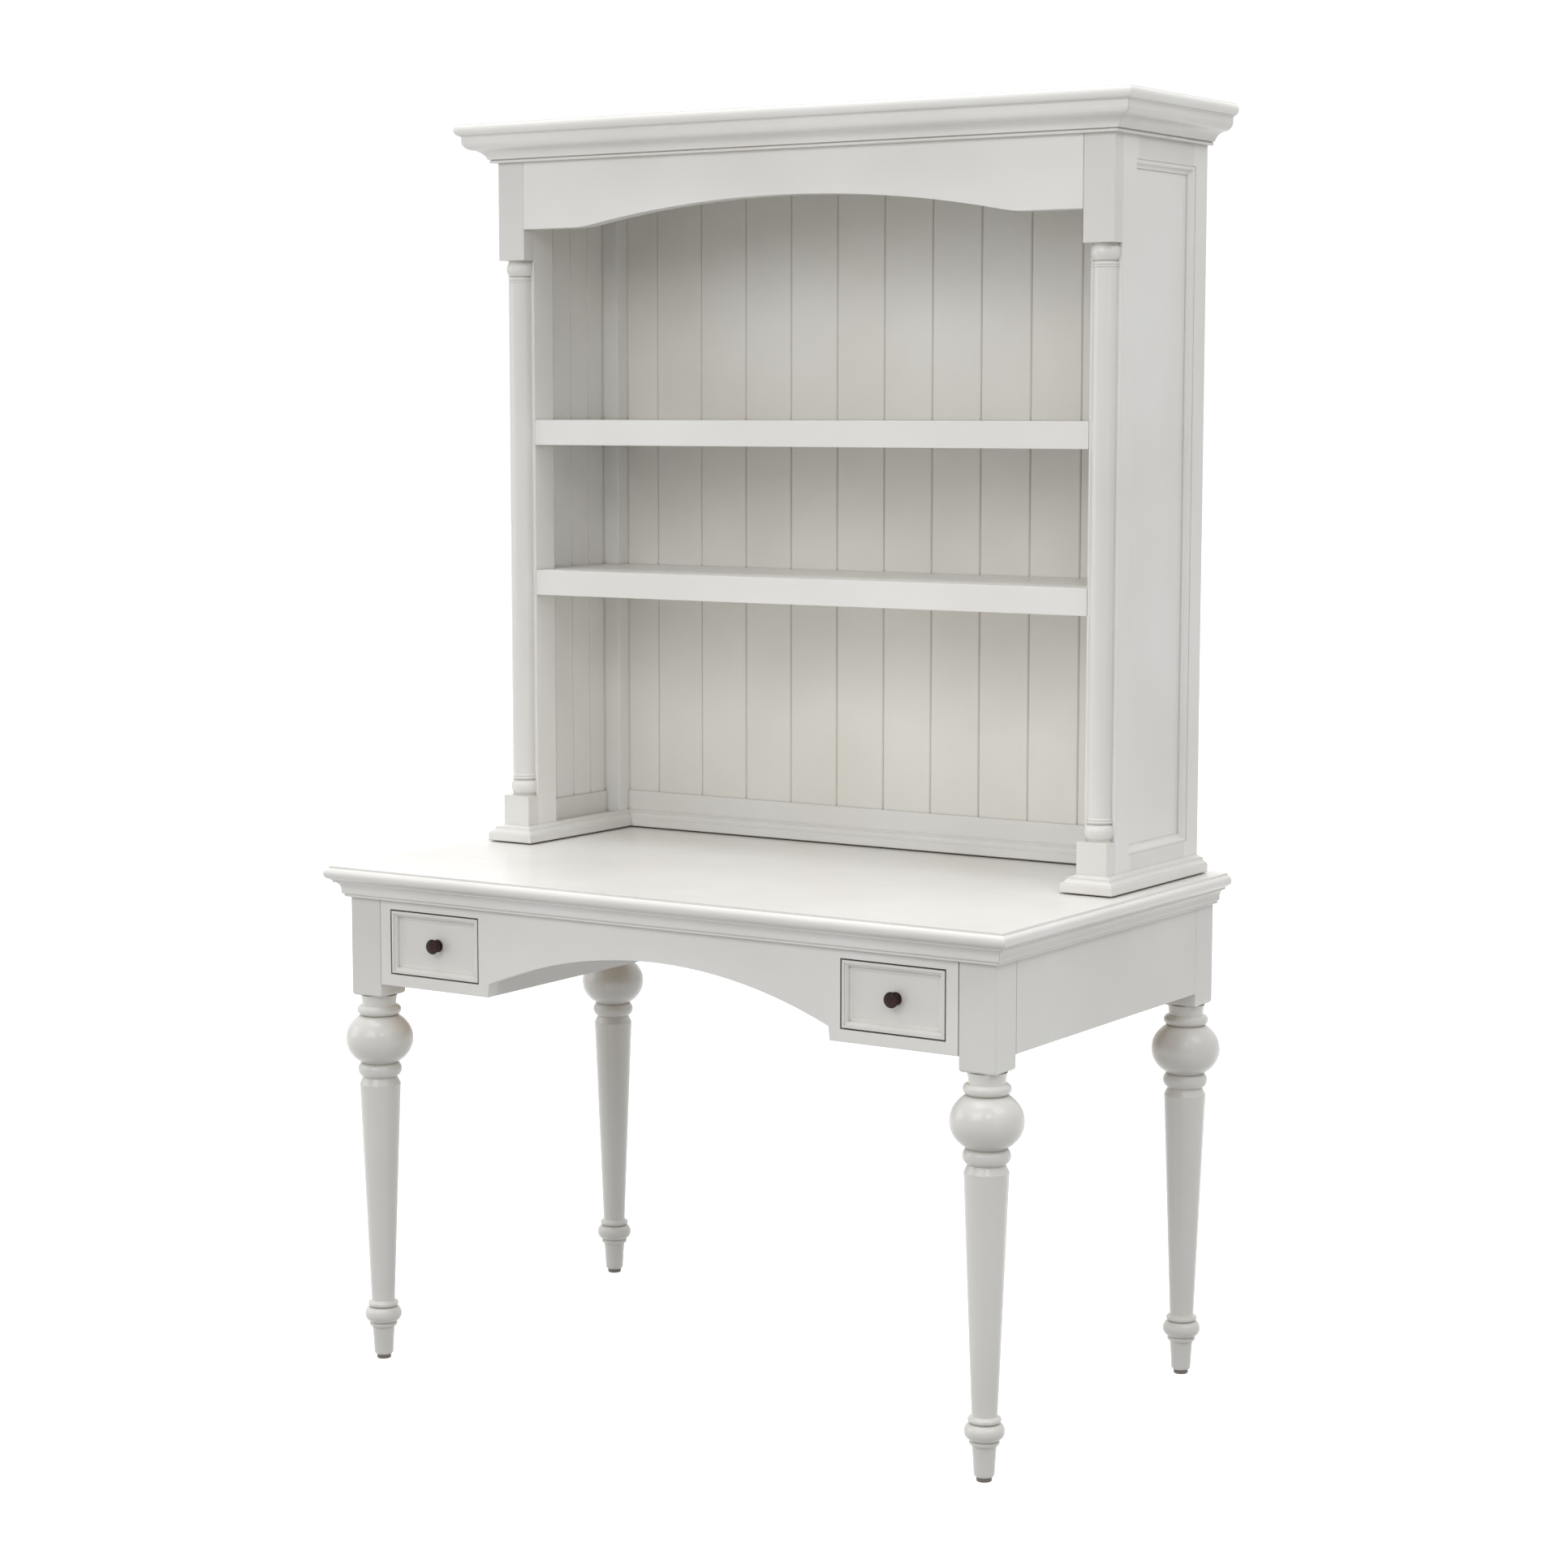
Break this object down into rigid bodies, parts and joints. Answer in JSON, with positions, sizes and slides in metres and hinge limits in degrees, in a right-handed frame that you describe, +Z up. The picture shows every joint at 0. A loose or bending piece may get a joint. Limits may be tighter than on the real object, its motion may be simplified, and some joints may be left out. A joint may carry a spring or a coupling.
{
  "type": "writing desk with hutch",
  "caption": "White painted writing desk on turned legs, with small drawers either side of an arched apron and an open shelved hutch under a moulded crown.",
  "frame": {"origin": "on the floor, at the middle of the bottom of the bounding box", "axes": "+Z up, +X to the right of someone sitting at the desk, +Y towards the back"},
  "size_m": [1.2, 0.7234, 1.925],
  "materials": {
    "painted_top": "white satin paint, brushed across the width",
    "painted_boards": "white satin paint, brushed along the board",
    "painted_sides": "white satin paint, brushed from front to back",
    "painted_uprights": "white satin paint, brushed up and down",
    "painted_turnings": "white semi-gloss paint on turned wood",
    "painted_beadboard": "white satin paint over beaded board",
    "painted_drawers": "white satin paint",
    "bare_wood": "clear-lacquered pine",
    "dark_bronze": "dark antique bronze",
    "plated_steel": "zinc-plated",
    "glide_plastic": "dark grey moulded plastic",
    "spacer_plastic": "dark grey hard plastic strip"
  },
  "bodies": {
    "frame": {"bed_moulding_front": "painted_boards", "bed_moulding_left": "painted_sides", "bed_moulding_right": "painted_sides", "crown_front": "painted_boards", "crown_left": "painted_sides", "crown_right": "painted_sides", "desk_top": "painted_top", "dowels": "bare_wood", "drawer_kickers": "bare_wood", "drawer_partitions": "painted_sides", "drawer_runners": "bare_wood", "drawer_stops": "bare_wood", "front_apron": "painted_boards", "hutch_back_panel": "painted_beadboard", "hutch_back_rails": "painted_boards", "hutch_base_moulding_back": "painted_boards", "hutch_base_moulding_left": "painted_sides", "hutch_base_moulding_right": "painted_sides", "hutch_brackets": "plated_steel", "hutch_frieze": "painted_boards", "hutch_front_post_left": "painted_uprights", "hutch_front_post_right": "painted_uprights", "hutch_panel_moulding_left": "painted_uprights", "hutch_panel_moulding_right": "painted_uprights", "hutch_rear_post_left": "painted_uprights", "hutch_rear_post_right": "painted_uprights", "hutch_side_panel_left": "painted_uprights", "hutch_side_panel_right": "painted_uprights", "hutch_side_rails_left": "painted_sides", "hutch_side_rails_right": "painted_sides", "hutch_spacers": "spacer_plastic", "hutch_top": "painted_boards", "hutch_turning_left": "painted_turnings", "hutch_turning_right": "painted_turnings", "left_apron": "painted_sides", "leg_front_left": "painted_turnings", "leg_front_right": "painted_turnings", "leg_glides": "glide_plastic", "leg_rear_left": "painted_turnings", "leg_rear_right": "painted_turnings", "lower_shelf": "painted_boards", "rear_apron": "painted_boards", "right_apron": "painted_sides", "top_cleats": "bare_wood", "upper_shelf": "painted_boards", "wood_screws": "plated_steel"},
    "left_drawer": {"left_drawer_front": "painted_drawers", "left_drawer_outer_side": "bare_wood", "left_drawer_inner_side": "bare_wood", "left_drawer_back": "bare_wood", "left_drawer_bottom": "bare_wood", "left_knob": "dark_bronze", "left_knob_screw": "plated_steel"},
    "right_drawer": {"right_drawer_front": "painted_drawers", "right_drawer_outer_side": "bare_wood", "right_drawer_inner_side": "bare_wood", "right_drawer_back": "bare_wood", "right_drawer_bottom": "bare_wood", "right_knob": "dark_bronze", "right_knob_screw": "plated_steel"}
  },
  "joints": [
    {"name": "left_drawer_slide", "type": "slide", "parent": "frame", "child": "left_drawer", "axis": [0, -1, 0], "range_m": [0, 0.3]},
    {"name": "right_drawer_slide", "type": "slide", "parent": "frame", "child": "right_drawer", "axis": [0, -1, 0], "range_m": [0, 0.3]}
  ]
}
